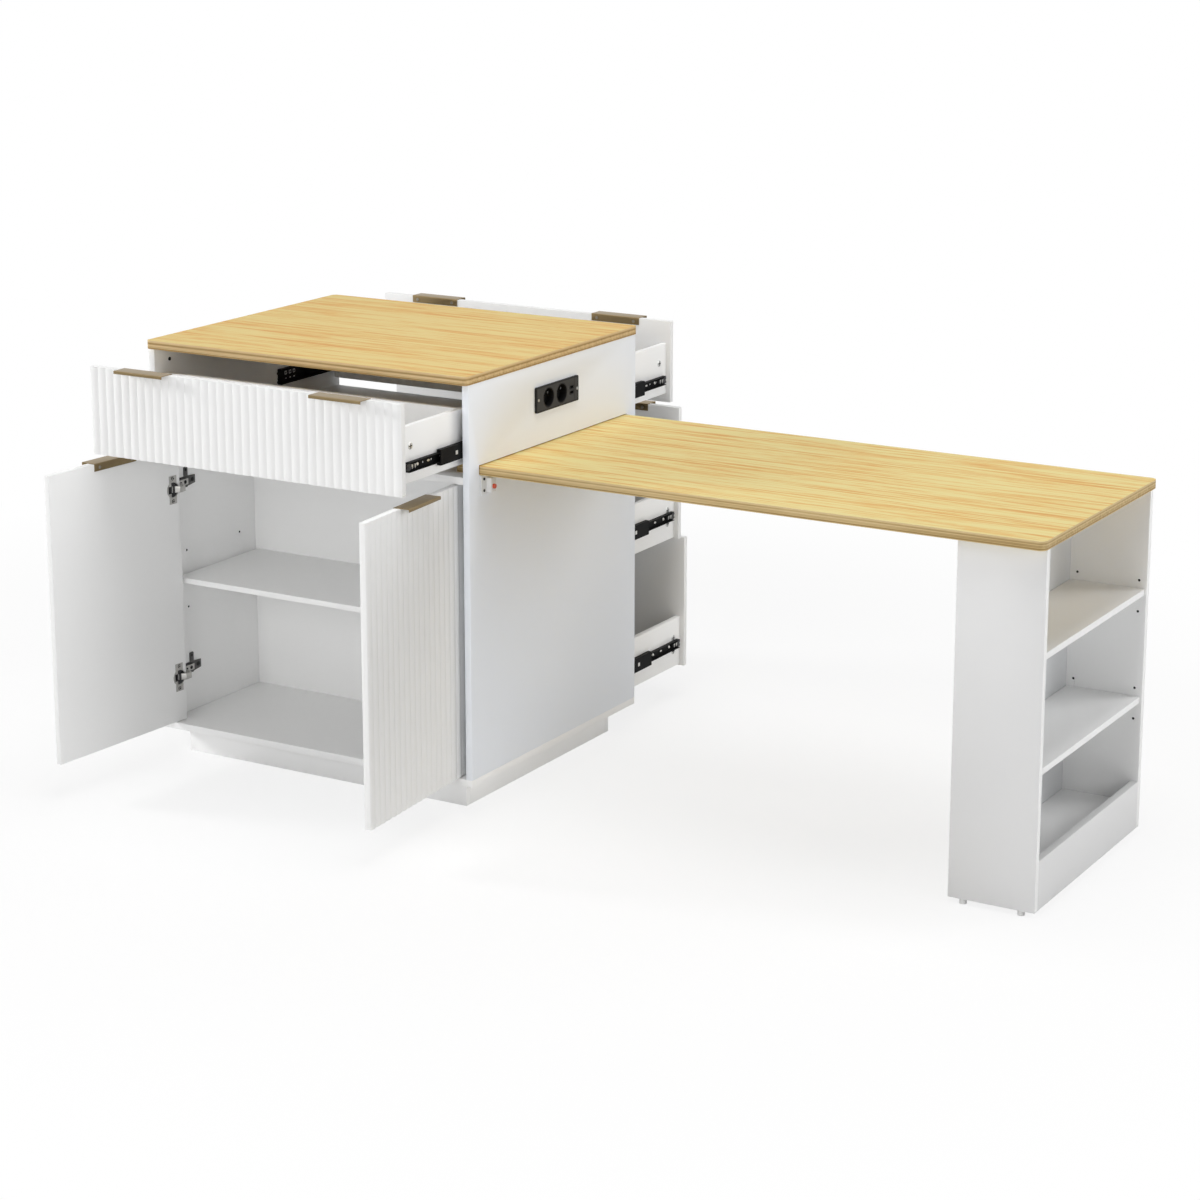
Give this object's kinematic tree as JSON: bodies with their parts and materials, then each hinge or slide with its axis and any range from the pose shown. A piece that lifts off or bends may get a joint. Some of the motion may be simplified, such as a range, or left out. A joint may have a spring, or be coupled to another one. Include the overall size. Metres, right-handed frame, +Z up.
{
  "type": "kitchen island",
  "caption": "Kitchen island cabinet with reeded fronts, a power strip in its side, an oak worktop, and an oak table that slides out of the side on a bookcase leg.",
  "frame": {"origin": "centre of the cabinet's footprint, on the floor, under the middle rail of the plinth", "axes": "+X towards the table, -Y to the front (doors and one drawer), +Z up"},
  "size_m": [2.0287, 1.3175, 0.92],
  "materials": {
    "white_board": "satin white lacquer on board",
    "oak": "satin clear-coated oak",
    "bronze": "satin bronze anodised",
    "black_steel": "black zinc",
    "nickel_steel": "nickel plated",
    "grey_plastic": "fine matt",
    "black_plastic": "matt",
    "light_plastic": "matt",
    "white_plastic": "semi-gloss",
    "red_plastic": "semi-gloss"
  },
  "bodies": {
    "cabinet": {"worktop": "oak", "left_side_panel": "white_board", "right_side_panel": "white_board", "base_panel": "white_board", "deck_panel": "white_board", "centre_partition": "white_board", "plinth_boards": "white_board", "cupboard_shelf": "white_board", "shelf_pins": "nickel_steel", "fastener_caps": "nickel_steel", "hinge_mounts": "nickel_steel", "hinge_pins": "nickel_steel", "front_drawer_rails": "black_steel", "rear_top_rails": "black_steel", "rear_middle_rails": "black_steel", "rear_bottom_rails": "black_steel", "strip_plate": "grey_plastic", "strip_sockets": "black_plastic", "strip_earth_pins": "nickel_steel", "strip_usb_ports": "light_plastic", "strip_housing": "grey_plastic", "panel_screws": "nickel_steel", "catch_body": "white_plastic"},
    "front_drawer": {"front_drawer_front": "white_board", "front_drawer_box": "white_board", "front_drawer_handles": "bronze", "front_drawer_runners": "black_steel"},
    "front_drawer_slides": {"front_drawer_carriers": "black_steel"},
    "rear_top_drawer": {"rear_top_front": "white_board", "rear_top_box": "white_board", "rear_top_handles": "bronze", "rear_top_runners": "black_steel"},
    "rear_top_slides": {"rear_top_carriers": "black_steel"},
    "rear_middle_drawer": {"rear_middle_front": "white_board", "rear_middle_box": "white_board", "rear_middle_handles": "bronze", "rear_middle_runners": "black_steel"},
    "rear_middle_slides": {"rear_middle_carriers": "black_steel"},
    "rear_bottom_drawer": {"rear_bottom_front": "white_board", "rear_bottom_box": "white_board", "rear_bottom_handles": "bronze", "rear_bottom_runners": "black_steel"},
    "rear_bottom_slides": {"rear_bottom_carriers": "black_steel"},
    "left_door": {"left_door_leaf": "white_board", "left_hinge_cups": "nickel_steel", "left_door_handle": "bronze"},
    "right_door": {"right_door_leaf": "white_board", "right_hinge_cups": "nickel_steel", "right_door_handle": "bronze"},
    "table": {"table_top": "oak", "leg_front_panel": "white_board", "leg_rear_panel": "white_board", "leg_back_panel": "white_board", "leg_bottom_shelf": "white_board", "leg_lip_board": "white_board", "leg_shelves": "white_board", "leg_shelf_pins": "nickel_steel", "leg_glides": "white_plastic"},
    "button": {"catch_button": "red_plastic"}
  },
  "joints": [
    {"name": "front_drawer_pull", "type": "slide", "parent": "cabinet", "child": "front_drawer", "axis": [0, -1, 0], "range_m": [-0.213, 0.007]},
    {"name": "front_drawer_slides_travel", "type": "slide", "parent": "cabinet", "child": "front_drawer_slides", "axis": [0, -1, 0], "range_m": [-0.1065, 0.0035]},
    {"name": "rear_top_drawer_pull", "type": "slide", "parent": "cabinet", "child": "rear_top_drawer", "axis": [0, 1, 0], "range_m": [-0.203, 0.017]},
    {"name": "rear_top_slides_travel", "type": "slide", "parent": "cabinet", "child": "rear_top_slides", "axis": [0, 1, 0], "range_m": [-0.1015, 0.0085]},
    {"name": "rear_middle_drawer_pull", "type": "slide", "parent": "cabinet", "child": "rear_middle_drawer", "axis": [0, 1, 0], "range_m": [-0.245, 0.04]},
    {"name": "rear_middle_slides_travel", "type": "slide", "parent": "cabinet", "child": "rear_middle_slides", "axis": [0, 1, 0], "range_m": [-0.1225, 0.02]},
    {"name": "rear_bottom_drawer_pull", "type": "slide", "parent": "cabinet", "child": "rear_bottom_drawer", "axis": [0, 1, 0], "range_m": [-0.275, 0.01]},
    {"name": "rear_bottom_slides_travel", "type": "slide", "parent": "cabinet", "child": "rear_bottom_slides", "axis": [0, 1, 0], "range_m": [-0.1375, 0.005]},
    {"name": "left_door_hinge", "type": "hinge", "parent": "cabinet", "child": "left_door", "pos_m": [-0.3655, -0.325, 0], "axis": [0, 0, -1], "range_deg": [-94, 11]},
    {"name": "right_door_hinge", "type": "hinge", "parent": "cabinet", "child": "right_door", "pos_m": [0.3655, -0.325, 0], "axis": [0, 0, 1], "range_deg": [-94, 11]},
    {"name": "table_slide", "type": "slide", "parent": "cabinet", "child": "table", "axis": [1, 0, 0], "range_m": [-0.73, 0]},
    {"name": "catch_button_press", "type": "slide", "parent": "cabinet", "child": "button", "axis": [-1, 0, 0], "range_m": [0, 0.003], "stiffness_N_per_m": 300, "springref_m": -0.003}
  ],
  "couplings": [
    {"joint": "front_drawer_slides_travel", "follows": "front_drawer_pull", "ratio": 0.5},
    {"joint": "rear_top_slides_travel", "follows": "rear_top_drawer_pull", "ratio": 0.5},
    {"joint": "rear_middle_slides_travel", "follows": "rear_middle_drawer_pull", "ratio": 0.5},
    {"joint": "rear_bottom_slides_travel", "follows": "rear_bottom_drawer_pull", "ratio": 0.5}
  ]
}
